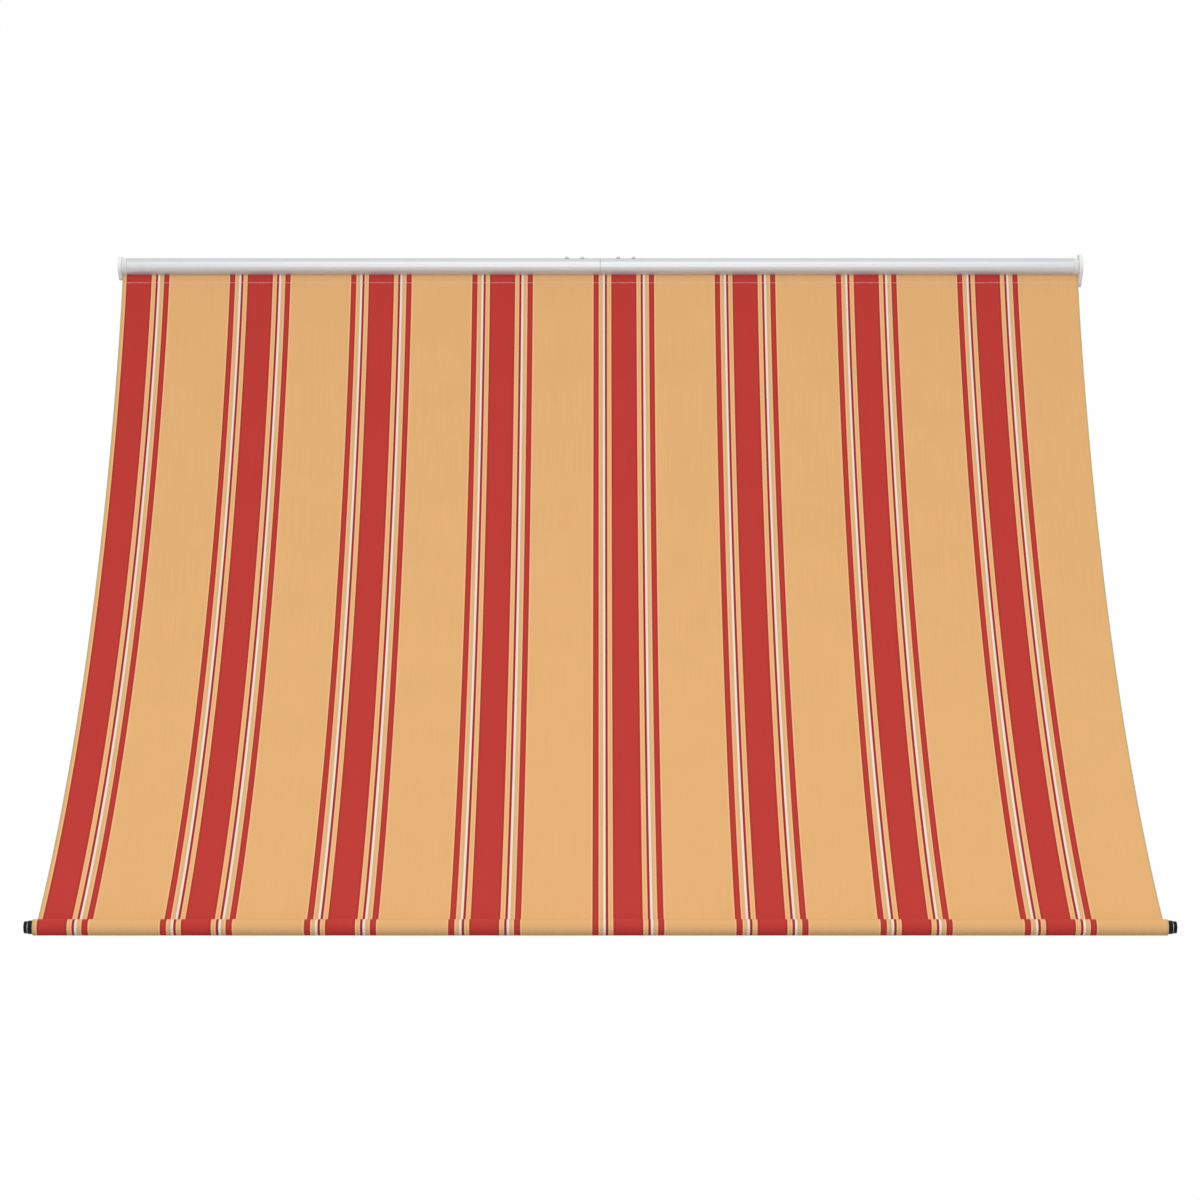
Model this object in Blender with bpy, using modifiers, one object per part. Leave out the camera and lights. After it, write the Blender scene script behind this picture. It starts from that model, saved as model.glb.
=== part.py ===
"""Fabric awning: a cloth that hangs from a two-part wall rail and winds onto a roller.

Metres, +Z up. The wall is the plane y = 0, the viewer stands at -Y, and x = 0 is the seam
between the two halves of the rail. Sections are drawn as (y, z) from the axis they belong to.
"""

import math

import bmesh
import bpy

# Overall sizes
CLOTH_WIDTH = 2.978
ROLLER_REACH = 1.867  # wall to the roller's axis
ROLLER_DROP = 1.472  # rail's axis down to the roller's axis
DIP_AT_RAIL = math.radians(23.35)  # between the line of centres and the slack cloth
DIP_AT_ROLLER = math.radians(19.65)
LEAD_AT_RAIL = 0.09  # how far the cloth keeps its first way, as a share of the line of centres
LEAD_AT_ROLLER = 0.484

# Gaps
TOUCH_GAP = 0.0003  # between pieces that touch
RUNNING_GAP = 0.00008  # axle pin in its bush
CLOTH_SIDE_GAP = 0.001  # cloth edge to end cap

# Cloth
CLOTH_THICKNESS = 0.0005
HEM_DEPTH = 0.031  # hem below the rail
SPARE_TURNS = 4.5
SPAN_STEPS = 36
HEM_STEPS = 4  # in each step of the span

# Wall rail
RAIL_RADIUS = 0.027
RAIL_BACK = 0.022  # axis to the flat back
RAIL_WALL = 0.002
GROOVE_WALL = 0.0018
PORT_BORE_RADIUS = 0.0022
PORT_WALL = 0.0018
PORT_ANGLE = math.radians(55)  # above and below the line to the back

# Welt rods and their grooves
TOP_WELT_RADIUS = 0.00275
BOTTOM_WELT_RADIUS = 0.002
GROOVE_CLEARANCE = 0.0005
SLOT_CLEARANCE = 0.00055  # each side of the doubled cloth

# Rail joiner and its screws
JOINER_LENGTH = 0.25
JOINER_WALL = 0.0062
JOINER_CLEARANCE = 0.0006
JOINT_SCREW_INSET = 0.056  # seam to the nearer screw
JOINT_SCREW_PITCH = 0.048
SCREW_RADIUS = 0.003
SCREW_LENGTH = 0.0145
SCREW_HEAD_RADIUS = 0.006
SCREW_HEAD_HEIGHT = 0.0046
RECESS_DEPTH = 0.6  # share of a screw head's height
CROWN_RIM = 0.35  # share of a screw head's height at its rim
CROWN_TOP = 0.72  # share of a screw head's radius that is flat on top

# End caps: the plate is a circle round the rail joined to a smaller, lower one
PLATE_THICKNESS = 0.0112
PLATE_ROUNDING = 0.002
PLATE_WALL_GAP = 0.0005
LEFT_PLATE = {"rim": 0.005, "lower_radius": 0.022, "lower_drop": 0.021}
RIGHT_PLATE = {"rim": 0.013, "lower_radius": 0.022, "lower_drop": 0.042}
COLLAR_LENGTH = 0.015
RIB_THICKNESS = 0.0025
RIB_REACH = 0.022  # into the rail
CAP_SCREW_RADIUS = 0.0019
CAP_SCREW_BITE = 0.016  # into the rail
CAP_SCREW_HEAD_RADIUS = 0.0045
CAP_SCREW_HEAD_HEIGHT = 0.003
COUNTERBORE_DEPTH = 0.0042

# Roller
TUBE_RADIUS = 0.019
TUBE_WALL = 0.0012
TUBE_GROOVE_ANGLE = math.radians(90)

# Roller plugs, bushes, pins and hubs
PLUG_RADIUS = 0.0182
PLUG_COLLAR = 0.0122
PLUG_SPIGOT = 0.04
PLUG_RING_WALL = 0.0025
PLUG_WEB = 0.01
PLUG_CORE_WALL = 0.0016
PIN_RADIUS = 0.005
PIN_CHAMFER = 0.0008
BUSH_WALL = 0.0017
BUSH_FLANGE_RADIUS = 0.0145
BUSH_FLANGE = 0.0012
HUB_RADIUS = 0.0163
HUB_LENGTH = 0.009
HUB_BORE_DEPTH = 0.0062
HUB_CHAMFER = 0.0008
HUB_FLAT = 0.0145  # axis to each flat
HUB_FLAT_LENGTH = 0.0045
RING_SHARE = 0.56  # of the room between the pin and the wall of the tube's groove
RING_THICKNESS = 0.001
RING_GROOVE_DEPTH = 0.0008
RING_OPENING = 0.004
PIN_TAIL = 0.0025  # pin beyond its retaining ring

# Facets
ARC_STEP = math.radians(5)
PLATE_STEP = math.radians(5)
ROLL_STEPS = 72
ROUND_STEPS = 48
SMALL_STEPS = 20
SHARP_ANGLE = math.radians(35)
WELD_DISTANCE = 0.000005
CUT_PAST = 0.01  # how far a cutter runs past the face it cuts

# Sizes that follow
half_width = CLOTH_WIDTH / 2
plate_face = half_width + CLOTH_SIDE_GAP
rail_end = plate_face - COLLAR_LENGTH - TOUCH_GAP
line_angle = math.atan2(ROLLER_REACH - RAIL_BACK, ROLLER_DROP)
top_angle = line_angle - DIP_AT_RAIL  # from plumb, towards the viewer
end_angle = line_angle + DIP_AT_ROLLER
layer_pitch = CLOTH_THICKNESS + TOUCH_GAP
slot_half = CLOTH_THICKNESS + TOUCH_GAP / 2 + SLOT_CLEARANCE
roll_radius = TUBE_RADIUS + TOUCH_GAP + SPARE_TURNS * CLOTH_THICKNESS
rail_axis = (-RAIL_BACK, 0.0)
roller_axis = (-ROLLER_REACH, -ROLLER_DROP)
port_radius = PORT_BORE_RADIUS + PORT_WALL
port_centre = RAIL_RADIUS - RAIL_WALL / 2 - port_radius
plug_face = half_width + TOUCH_GAP  # inner face of the plug's collar
hub_face = plug_face + PLUG_COLLAR + BUSH_FLANGE + 2 * TOUCH_GAP

SECTION_TURN = (math.pi / 2, 0, math.pi / 2)  # local x, y, z become world y, z, x

COLOURS = {
    "aluminium": ((0.78, 0.80, 0.81), 0.32, 0.9),
    "cap_plastic": ((0.82, 0.83, 0.84), 0.4, 0.0),
    "zinc_steel": ((0.62, 0.63, 0.64), 0.35, 1.0),
    "cloth": ((0.80, 0.45, 0.19), 0.9, 0.0),
    "welt": ((0.75, 0.75, 0.72), 0.5, 0.0),
    "black_plastic": ((0.015, 0.015, 0.017), 0.25, 0.0),
    "sintered_iron": ((0.56, 0.57, 0.58), 0.35, 1.0),
}


# Scene and materials


def clear_scene():
    for obj in list(bpy.data.objects):
        bpy.data.objects.remove(obj, do_unlink=True)


def new_collection(name):
    collection = bpy.data.collections.new(name)
    bpy.context.scene.collection.children.link(collection)
    return collection


def move_to(obj, collection):
    for owner in list(obj.users_collection):
        owner.objects.unlink(obj)
    collection.objects.link(obj)


def finish(obj, name, look):
    """Names a piece, gives it its own material and puts it in the awning's collection."""
    colour, roughness, metallic = COLOURS[look]
    obj.name = name
    obj.data.name = name
    material = bpy.data.materials.new(name)
    material.use_nodes = True
    shader = material.node_tree.nodes["Principled BSDF"]
    shader.inputs["Base Color"].default_value = (*colour, 1.0)
    shader.inputs["Roughness"].default_value = roughness
    shader.inputs["Metallic"].default_value = metallic
    obj.data.materials.clear()
    obj.data.materials.append(material)
    obj.data.shade_smooth()
    obj.data.set_sharp_from_angle(angle=SHARP_ANGLE)
    move_to(obj, awning)
    return obj


# Outlines in a section plane


def polar(centre, radius, angle):
    return (centre[0] + radius * math.cos(angle), centre[1] + radius * math.sin(angle))


def arc(centre, radius, start, end, step=ARC_STEP):
    """Points from one angle to another, either way round, both ends included."""
    count = max(1, math.ceil(abs(end - start) / step))
    return [
        polar(centre, radius, start + (end - start) * i / count)
        for i in range(count + 1)
    ]


def circle(centre, radius, steps=SMALL_STEPS):
    return [polar(centre, radius, 2 * math.pi * i / steps) for i in range(steps)]


def round_trip(radius, start, end, detours):
    """An arc round the origin that goes inwards round each detour circle it meets.

    A detour is (direction, distance of its centre, its radius), in the order they are met.
    """
    points = []
    angle = start
    for direction, distance, size in detours:
        if distance - size >= radius:
            continue  # it lies clear outside the arc
        meet = (radius**2 + distance**2 - size**2) / (2 * radius * distance)
        spread = math.acos(meet)
        points += arc((0, 0), radius, angle, direction - spread)
        side = math.atan2(
            radius * math.sin(spread), radius * math.cos(spread) - distance
        )
        centre = polar((0, 0), distance, direction)
        turn = 2 * (math.pi - side)
        around = arc(centre, size, direction - side, direction - side - turn)
        points += around[1:-1]
        angle = direction + spread
    return points + arc((0, 0), radius, angle, end)


def keyhole(radius, start, end, direction, bore_centre, bore_radius, half_slot):
    """An arc round the origin with a slot that opens into a round bore behind it."""
    lip = math.asin(half_slot / radius)
    neck = math.asin(half_slot / bore_radius)
    centre = polar((0, 0), bore_centre, direction)
    bore = arc(
        centre, bore_radius, direction - neck, direction + neck - 2 * math.pi
    )
    return (
        arc((0, 0), radius, start, direction - lip)
        + bore
        + arc((0, 0), radius, direction + lip, end)
    )


# Solids


def filled_section(outlines, axis, x_low, x_high, rounding=0.0):
    """Outlines filled between each other and drawn out along X, as one mesh object."""
    curve = bpy.data.curves.new("section", "CURVE")
    curve.dimensions = "2D"
    curve.fill_mode = "BOTH"
    curve.extrude = (x_high - x_low) / 2 - rounding
    curve.bevel_depth = rounding
    curve.bevel_resolution = 1
    curve.offset = -rounding
    for outline in outlines:
        spline = curve.splines.new("POLY")
        spline.points.add(len(outline) - 1)
        for point, (y, z) in zip(spline.points, outline):
            point.co = (y, z, 0, 1)
        spline.use_cyclic_u = True
    guide = bpy.data.objects.new("section", curve)
    bpy.context.scene.collection.objects.link(guide)
    guide.location = ((x_low + x_high) / 2, axis[0], axis[1])
    guide.rotation_euler = SECTION_TURN
    return curve_to_mesh(guide)


def curve_to_mesh(guide):
    bpy.context.view_layer.update()
    evaluated = guide.evaluated_get(bpy.context.evaluated_depsgraph_get())
    mesh = bpy.data.meshes.new_from_object(evaluated)
    made = bmesh.new()
    made.from_mesh(mesh)
    bmesh.ops.remove_doubles(made, verts=made.verts, dist=WELD_DISTANCE)
    bmesh.ops.recalc_face_normals(made, faces=made.faces)
    made.to_mesh(mesh)
    made.free()
    obj = bpy.data.objects.new("section", mesh)
    obj.matrix_world = guide.matrix_world
    bpy.context.scene.collection.objects.link(obj)
    curve = guide.data
    bpy.data.objects.remove(guide)
    bpy.data.curves.remove(curve)
    return obj


def turned(profile, axis, x, outwards, steps=SMALL_STEPS, closed=True):
    """A profile of (radius, height) turned about an axis along X.

    Height zero is at x, and grows towards outwards, which is 1 for +X and -1 for -X. The
    profile runs down its outer side. An open one starts and ends on the axis.
    """
    mesh = bpy.data.meshes.new("turned")
    made = bmesh.new()
    verts = [made.verts.new((radius, 0, height)) for radius, height in profile]
    for first, second in zip(verts, verts[1:] + verts[:1]):
        if closed or second is not verts[0]:
            made.edges.new((first, second))
    made.to_mesh(mesh)
    made.free()
    obj = bpy.data.objects.new("turned", mesh)
    bpy.context.scene.collection.objects.link(obj)
    obj.location = (x, axis[0], axis[1])
    obj.rotation_euler = (0, outwards * math.pi / 2, 0)
    screw = obj.modifiers.new("turn", "SCREW")
    screw.steps = steps
    screw.render_steps = steps
    screw.use_merge_vertices = True
    screw.merge_threshold = WELD_DISTANCE
    return obj


def rod(radius, axis, x_low, x_high, steps=SMALL_STEPS):
    """A plain cylinder along X."""
    bpy.ops.mesh.primitive_cylinder_add(
        vertices=steps,
        radius=radius,
        depth=x_high - x_low,
        location=((x_low + x_high) / 2, axis[0], axis[1]),
        rotation=(0, math.pi / 2, 0),
    )
    return bpy.context.object


def box(low, high):
    bpy.ops.mesh.primitive_cube_add(
        size=1, location=[(a + b) / 2 for a, b in zip(low, high)]
    )
    obj = bpy.context.object
    obj.scale = [b - a for a, b in zip(low, high)]
    bpy.ops.object.transform_apply(location=False, rotation=False, scale=True)
    return obj


def combine(target, other, operation):
    """Adds a Boolean, and puts the other object away as a hidden helper."""
    modifier = target.modifiers.new(operation.lower(), "BOOLEAN")
    modifier.operation = operation
    modifier.solver = "EXACT"
    modifier.object = other
    other.name = "helper"
    other.hide_render = True
    other.display_type = "WIRE"
    move_to(other, helpers)


# Wall rail


def groove_radius(welt_radius):
    """Bore that takes a welt rod with the cloth looped round it."""
    return welt_radius + TOUCH_GAP + CLOTH_THICKNESS + GROOVE_CLEARANCE


def rail_groove():
    """Direction, centre distance and bore radius of the rail's groove."""
    bore = groove_radius(TOP_WELT_RADIUS)
    return -math.pi / 2 - top_angle, RAIL_RADIUS - RAIL_WALL - bore, bore


def port_places():
    return [polar((0, 0), port_centre, side * PORT_ANGLE) for side in (1, -1)]


def rail_section(x_low, x_high, port_bores):
    """The hollow profile: flat back, round front, groove below and two screw ports."""
    direction, distance, bore = rail_groove()
    direction += 2 * math.pi
    corner = math.acos(RAIL_BACK / RAIL_RADIUS)
    outer = keyhole(
        RAIL_RADIUS, corner, 2 * math.pi - corner, direction, distance, bore, slot_half
    )
    inner_radius = RAIL_RADIUS - RAIL_WALL
    inner_corner = math.acos((RAIL_BACK - RAIL_WALL) / inner_radius)
    inner = round_trip(
        inner_radius,
        inner_corner,
        2 * math.pi - inner_corner,
        [
            (PORT_ANGLE, port_centre, port_radius),
            (direction, distance, bore + GROOVE_WALL),
            (2 * math.pi - PORT_ANGLE, port_centre, port_radius),
        ],
    )
    return filled_section([outer, inner, *port_bores], rail_axis, x_low, x_high)


def joint_screw_places():
    far = JOINT_SCREW_INSET + JOINT_SCREW_PITCH
    return [-far, -JOINT_SCREW_INSET, JOINT_SCREW_INSET, far]


def drill_for_screws(target, places):
    for x in places:
        bpy.ops.mesh.primitive_cylinder_add(
            vertices=SMALL_STEPS,
            radius=SCREW_RADIUS + TOUCH_GAP,
            depth=2 * (SCREW_LENGTH + SCREW_RADIUS),
            location=(x, rail_axis[0], rail_axis[1] + RAIL_RADIUS),
        )
        combine(target, bpy.context.object, "DIFFERENCE")


def build_rail():
    seam = TOUCH_GAP / 2
    places = joint_screw_places()
    port_bores = [circle(place, PORT_BORE_RADIUS) for place in port_places()]
    left = rail_section(-rail_end, -seam, port_bores)
    drill_for_screws(left, places[:2])
    finish(left, "rail_left", "aluminium")
    right = rail_section(seam, rail_end, port_bores)
    drill_for_screws(right, places[2:])
    finish(right, "rail_right", "aluminium")


def build_joiner():
    """A core between the ports, with a pad up to the rail's wall where the screws come in."""
    direction, distance, bore = rail_groove()
    direction += 2 * math.pi
    core = min(port_centre - port_radius, RAIL_BACK - RAIL_WALL) - JOINER_CLEARANCE
    pad_half = port_places()[0][0] - port_radius - JOINER_CLEARANCE
    pad_top = RAIL_RADIUS - RAIL_WALL - TOUCH_GAP
    pad_root = math.acos(pad_half / core)
    pad_corner = math.acos(pad_half / pad_top)
    outline = arc((0, 0), pad_top, pad_corner, math.pi - pad_corner)
    outline += round_trip(
        core,
        math.pi - pad_root,
        2 * math.pi + pad_root,
        [(direction, distance, bore + GROOVE_WALL + TOUCH_GAP)],
    )
    hollow = circle((0, 0), core - JOINER_WALL)
    joiner = filled_section(
        [outline, hollow], rail_axis, -JOINER_LENGTH / 2, JOINER_LENGTH / 2
    )
    drill_for_screws(joiner, joint_screw_places())
    finish(joiner, "rail_joiner", "aluminium")


def cross_recess(centre, size, depth, axis):
    """Two crossed slots that sink into a screw's head along X or Z."""
    arms = []
    for first, second in ((size, size / 4), (size / 4, size)):
        if axis == "Z":
            reach = (first / 2, second / 2, depth)
        else:
            reach = (depth, first / 2, second / 2)
        low = [c - r for c, r in zip(centre, reach)]
        high = [c + r for c, r in zip(centre, reach)]
        arms.append(box(low, high))
    return arms


def screw_profile(shank_radius, shank_length, head_radius, head_height):
    """Pan head: a flat underside, and a crown whose edge is an elliptic round."""
    crown = [
        (
            head_radius * (CROWN_TOP + (1 - CROWN_TOP) * math.sin(angle)),
            head_height * (CROWN_RIM + (1 - CROWN_RIM) * math.cos(angle)),
        )
        for angle in (math.radians(22.5 * i) for i in range(5))
    ]
    tip = shank_radius * 0.75
    return (
        [(0, head_height)]
        + crown
        + [
            (head_radius, 0),
            (shank_radius, 0),
            (shank_radius, -shank_length + shank_radius / 2),
            (tip, -shank_length),
            (0, -shank_length),
        ]
    )


def build_joint_screws():
    profile = screw_profile(
        SCREW_RADIUS, SCREW_LENGTH, SCREW_HEAD_RADIUS, SCREW_HEAD_HEIGHT
    )
    seat = rail_axis[1] + RAIL_RADIUS + TOUCH_GAP
    for number, x in enumerate(joint_screw_places(), 1):
        screw = turned(profile, (rail_axis[0], seat), x, 1, closed=False)
        screw.rotation_euler = (0, 0, 0)
        crown = (x, rail_axis[0], seat + SCREW_HEAD_HEIGHT)
        for arm in cross_recess(
            crown, SCREW_HEAD_RADIUS, SCREW_HEAD_HEIGHT * RECESS_DEPTH, "Z"
        ):
            combine(screw, arm, "DIFFERENCE")
        finish(screw, f"joint_screw_{number}", "zinc_steel")


# End caps


def plate_outline(rim, lower_radius, lower_drop):
    """Two circles and their outer tangents, with a flat back just off the wall."""
    upper_radius = RAIL_RADIUS + rim
    lean = math.asin((upper_radius - lower_radius) / lower_drop)
    back = RAIL_BACK - PLATE_WALL_GAP
    start = math.acos(back / upper_radius)
    upper = arc((0, 0), upper_radius, start, math.pi + lean, PLATE_STEP)
    low_end = 2 * math.pi - lean
    if lower_radius > back:
        low_end = 2 * math.pi - math.acos(back / lower_radius)
    centre = (0, -lower_drop)
    lower = arc(centre, lower_radius, math.pi + lean, low_end, PLATE_STEP)
    return upper + lower


def build_cap(side, name, plate):
    """Plate, collar in line with the rail, and crossed ribs that plug into it."""
    outer_face = plate_face + PLATE_THICKNESS
    low, high = sorted((side * plate_face, side * outer_face))
    cap = filled_section([plate_outline(**plate)], rail_axis, low, high, PLATE_ROUNDING)
    inside_plate = plate_face + PLATE_THICKNESS / 2
    low, high = sorted((side * (plate_face - COLLAR_LENGTH), side * inside_plate))
    combine(cap, rail_section(low, high, ()), "UNION")
    add_cap_ribs(cap, side)
    screw_hole = CAP_SCREW_RADIUS + 2 * TOUCH_GAP
    head_hole = CAP_SCREW_HEAD_RADIUS + 2 * TOUCH_GAP
    floor = outer_face - COUNTERBORE_DEPTH
    for place in port_places():
        centre = (rail_axis[0] + place[0], rail_axis[1] + place[1])
        for radius, start in ((screw_hole, rail_end - RIB_REACH), (head_hole, floor)):
            low, high = sorted((side * start, side * (outer_face + CUT_PAST)))
            combine(cap, rod(radius, centre, low, high), "DIFFERENCE")
    finish(cap, name, "cap_plastic")


def add_cap_ribs(cap, side):
    """An upright and a level rib, trimmed to the rail's hollow and clear of its groove."""
    reach = RAIL_RADIUS - RAIL_WALL - TOUCH_GAP
    back = RAIL_BACK - RAIL_WALL - TOUCH_GAP
    half = RIB_THICKNESS / 2
    spread = math.asin(half / reach)
    top, front, bottom = math.pi / 2, math.pi, 3 * math.pi / 2
    upright = arc((0, 0), reach, top - spread, top + spread)
    upright += arc((0, 0), reach, bottom - spread, bottom + spread)
    level = arc((0, 0), reach, front - spread, front + spread)
    level += [(back, -half), (back, half)]
    for outline, length in ((upright, RIB_REACH), (level, RIB_REACH - RIB_THICKNESS)):
        root = plate_face + PLATE_THICKNESS * length / (4 * RIB_REACH)
        low, high = sorted((side * (rail_end - length), side * root))
        combine(cap, filled_section([outline], rail_axis, low, high), "UNION")


def build_cap_screws(side, name):
    seat = plate_face + PLATE_THICKNESS - COUNTERBORE_DEPTH + TOUCH_GAP
    length = seat - rail_end + CAP_SCREW_BITE
    profile = screw_profile(
        CAP_SCREW_RADIUS, length, CAP_SCREW_HEAD_RADIUS, CAP_SCREW_HEAD_HEIGHT
    )
    for place, level in zip(port_places(), ("upper", "lower")):
        centre = (rail_axis[0] + place[0], rail_axis[1] + place[1])
        screw = turned(profile, centre, side * seat, side, closed=False)
        crown = (side * (seat + CAP_SCREW_HEAD_HEIGHT), *centre)
        for arm in cross_recess(
            crown, CAP_SCREW_HEAD_RADIUS, CAP_SCREW_HEAD_HEIGHT * RECESS_DEPTH, "X"
        ):
            combine(screw, arm, "DIFFERENCE")
        finish(screw, f"cap_screw_{name}_{level}", "zinc_steel")


# Cloth between rail and roller


def along(angle):
    """Unit vector this far from plumb, down and towards the viewer, as (y, z)."""
    return (-math.sin(angle), -math.cos(angle))


def upper_side(angle):
    """Unit normal on the weather side of a cloth that runs along this angle."""
    return (-math.cos(angle), math.sin(angle))


def step_from(point, direction, distance):
    return (
        point[0] + direction[0] * distance,
        point[1] + direction[1] * distance,
    )


def welt_centre():
    """The top welt rod, pulled against the lips of its groove by the cloth."""
    loop = TOP_WELT_RADIUS + TOUCH_GAP + CLOTH_THICKNESS
    distance = rail_groove()[1] + groove_radius(TOP_WELT_RADIUS) - loop - TOUCH_GAP
    return step_from(rail_axis, along(top_angle), distance)


def span_corners():
    """The four corners of the curve that the slack cloth follows."""
    start = step_from(rail_axis, along(top_angle), RAIL_RADIUS)
    start = step_from(start, upper_side(top_angle), layer_pitch / 2)
    reach = roll_radius + TOUCH_GAP + CLOTH_THICKNESS / 2
    end = step_from(roller_axis, upper_side(end_angle), -reach)
    length = math.dist(rail_axis, roller_axis)
    after_rail = step_from(start, along(top_angle), LEAD_AT_RAIL * length)
    before_roller = step_from(end, along(end_angle), -LEAD_AT_ROLLER * length)
    return start, after_rail, before_roller, end


def span_point(share):
    """A point of the slack cloth and its angle, from the rail at 0 to the roll at 1.

    The cloth leaves the groove in line with it and meets the roll as a tangent, on the side
    away from the viewer.
    """
    corners = span_corners()
    rest = 1 - share
    weights = (rest**3, 3 * share * rest**2, 3 * share**2 * rest, share**3)
    here = [sum(w * c[i] for w, c in zip(weights, corners)) for i in (0, 1)]
    steps = [
        [far - near for near, far in zip(corners[i], corners[i + 1])] for i in range(3)
    ]
    weights = (rest**2, 2 * share * rest, share**2)
    slope = [sum(w * c[i] for w, c in zip(weights, steps)) for i in (0, 1)]
    return here, math.atan2(-slope[0], -slope[1])


def hem_layer():
    """The turned-under layer, from its cut edge up to the rod, under the span."""
    points = []
    start = span_point(0)[0]
    share = 0.0
    here, angle = span_point(share)
    while math.dist(here, start) < HEM_DEPTH:
        points.append(step_from(here, upper_side(angle), -layer_pitch))
        share += 1 / (HEM_STEPS * SPAN_STEPS)
        here, angle = span_point(share)
    return points[::-1]


def cloth_path():
    """Section of the span: hem, loop round the welt rod, and the slack curve."""
    centre = welt_centre()
    loop = TOP_WELT_RADIUS + TOUCH_GAP + CLOTH_THICKNESS / 2
    neck = math.asin(layer_pitch / 2 / loop)
    outwards = -math.pi / 2 - top_angle
    around = arc(
        centre,
        loop,
        outwards + neck,
        outwards - neck + 2 * math.pi,
        2 * ARC_STEP,
    )
    span = [span_point(i / SPAN_STEPS)[0] for i in range(SPAN_STEPS + 1)]
    return hem_layer() + around + span


def build_cloth_span():
    """One sheet: the path is drawn out to the cloth's width and given its thickness."""
    curve = bpy.data.curves.new("cloth", "CURVE")
    curve.dimensions = "2D"
    curve.fill_mode = "NONE"
    curve.extrude = half_width
    spline = curve.splines.new("POLY")
    path = cloth_path()
    spline.points.add(len(path) - 1)
    for point, (y, z) in zip(spline.points, path):
        point.co = (y, z, 0, 1)
    guide = bpy.data.objects.new("cloth", curve)
    bpy.context.scene.collection.objects.link(guide)
    guide.rotation_euler = SECTION_TURN
    cloth = curve_to_mesh(guide)
    thicken = cloth.modifiers.new("thickness", "SOLIDIFY")
    thicken.thickness = CLOTH_THICKNESS
    thicken.offset = 0
    thicken.use_even_offset = True
    finish(cloth, "cloth_span", "cloth")


def build_top_welt():
    welt = rod(TOP_WELT_RADIUS, welt_centre(), -half_width, half_width)
    finish(welt, "welt_rod_top", "welt")


# Roller with the cloth's spare turns


def tube_groove():
    """Centre distance and bore radius of the roller's groove."""
    bore = groove_radius(BOTTOM_WELT_RADIUS)
    return TUBE_RADIUS - TUBE_WALL - bore, bore


def full_turn():
    start = TUBE_GROOVE_ANGLE - math.pi
    return start, start + 2 * math.pi


def build_tube():
    distance, bore = tube_groove()
    start, end = full_turn()
    outer = keyhole(
        TUBE_RADIUS, start, end, TUBE_GROOVE_ANGLE, distance, bore, slot_half
    )
    inner = round_trip(
        TUBE_RADIUS - TUBE_WALL,
        start,
        end,
        [(TUBE_GROOVE_ANGLE, distance, bore + TUBE_WALL)],
    )
    tube = filled_section(
        [outer[:-1], inner[:-1]], roller_axis, -half_width, half_width
    )
    return finish(tube, "roller_tube", "zinc_steel")


def build_turns():
    """All turns as one solid, with the inner end looped round its welt rod in the tube."""
    distance = tube_groove()[0]
    start, end = full_turn()
    loop = BOTTOM_WELT_RADIUS + TOUCH_GAP + CLOTH_THICKNESS
    inner = keyhole(
        TUBE_RADIUS + TOUCH_GAP,
        start,
        end,
        TUBE_GROOVE_ANGLE,
        distance,
        loop,
        CLOTH_THICKNESS + TOUCH_GAP / 2,
    )
    outer = circle((0, 0), roll_radius, ROLL_STEPS)
    hole = circle(
        polar((0, 0), distance, TUBE_GROOVE_ANGLE), BOTTOM_WELT_RADIUS + TOUCH_GAP
    )
    turns = filled_section(
        [outer, inner[:-1], hole], roller_axis, -half_width, half_width
    )
    return finish(turns, "cloth_turns", "cloth")


def build_bottom_welt():
    offset = polar(roller_axis, tube_groove()[0], TUBE_GROOVE_ANGLE)
    welt = rod(BOTTOM_WELT_RADIUS, offset, -half_width, half_width)
    return finish(welt, "welt_rod_bottom", "welt")


# Roller ends


def plug_profile():
    """Collar outside the tube, then a cored spigot inside it. Height zero is the tube's end."""
    core = PIN_RADIUS + RUNNING_GAP + BUSH_WALL + TOUCH_GAP
    spigot = TUBE_RADIUS - TUBE_WALL - TOUCH_GAP
    edge = PIN_CHAMFER
    return [
        (core, PLUG_COLLAR),
        (PLUG_RADIUS - edge, PLUG_COLLAR),
        (PLUG_RADIUS, PLUG_COLLAR - edge),
        (PLUG_RADIUS, 0),
        (spigot, 0),
        (spigot, -PLUG_SPIGOT + edge),
        (spigot - edge, -PLUG_SPIGOT),
        (spigot - PLUG_RING_WALL, -PLUG_SPIGOT),
        (spigot - PLUG_RING_WALL, -PLUG_WEB),
        (core + PLUG_CORE_WALL, -PLUG_WEB),
        (core + PLUG_CORE_WALL, -PLUG_SPIGOT),
        (core, -PLUG_SPIGOT),
    ]


def build_plug(side, name):
    """The spigot is keyed: a notch along it takes the tube's groove."""
    plug = turned(
        plug_profile(), roller_axis, side * plug_face, side, ROUND_STEPS
    )
    distance, bore = tube_groove()
    clearance = bore + TUBE_WALL + TOUCH_GAP
    y, z = polar(roller_axis, distance, TUBE_GROOVE_ANGLE)
    low, high = sorted((side * (plug_face - 2 * PLUG_SPIGOT), side * plug_face))
    combine(plug, rod(clearance, (y, z), low, high, ROUND_STEPS), "DIFFERENCE")
    lip = box((low, y - clearance, z), (high, y + clearance, z + TUBE_RADIUS))
    combine(plug, lip, "DIFFERENCE")
    return finish(plug, f"roller_plug_{name}", "black_plastic")


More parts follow.
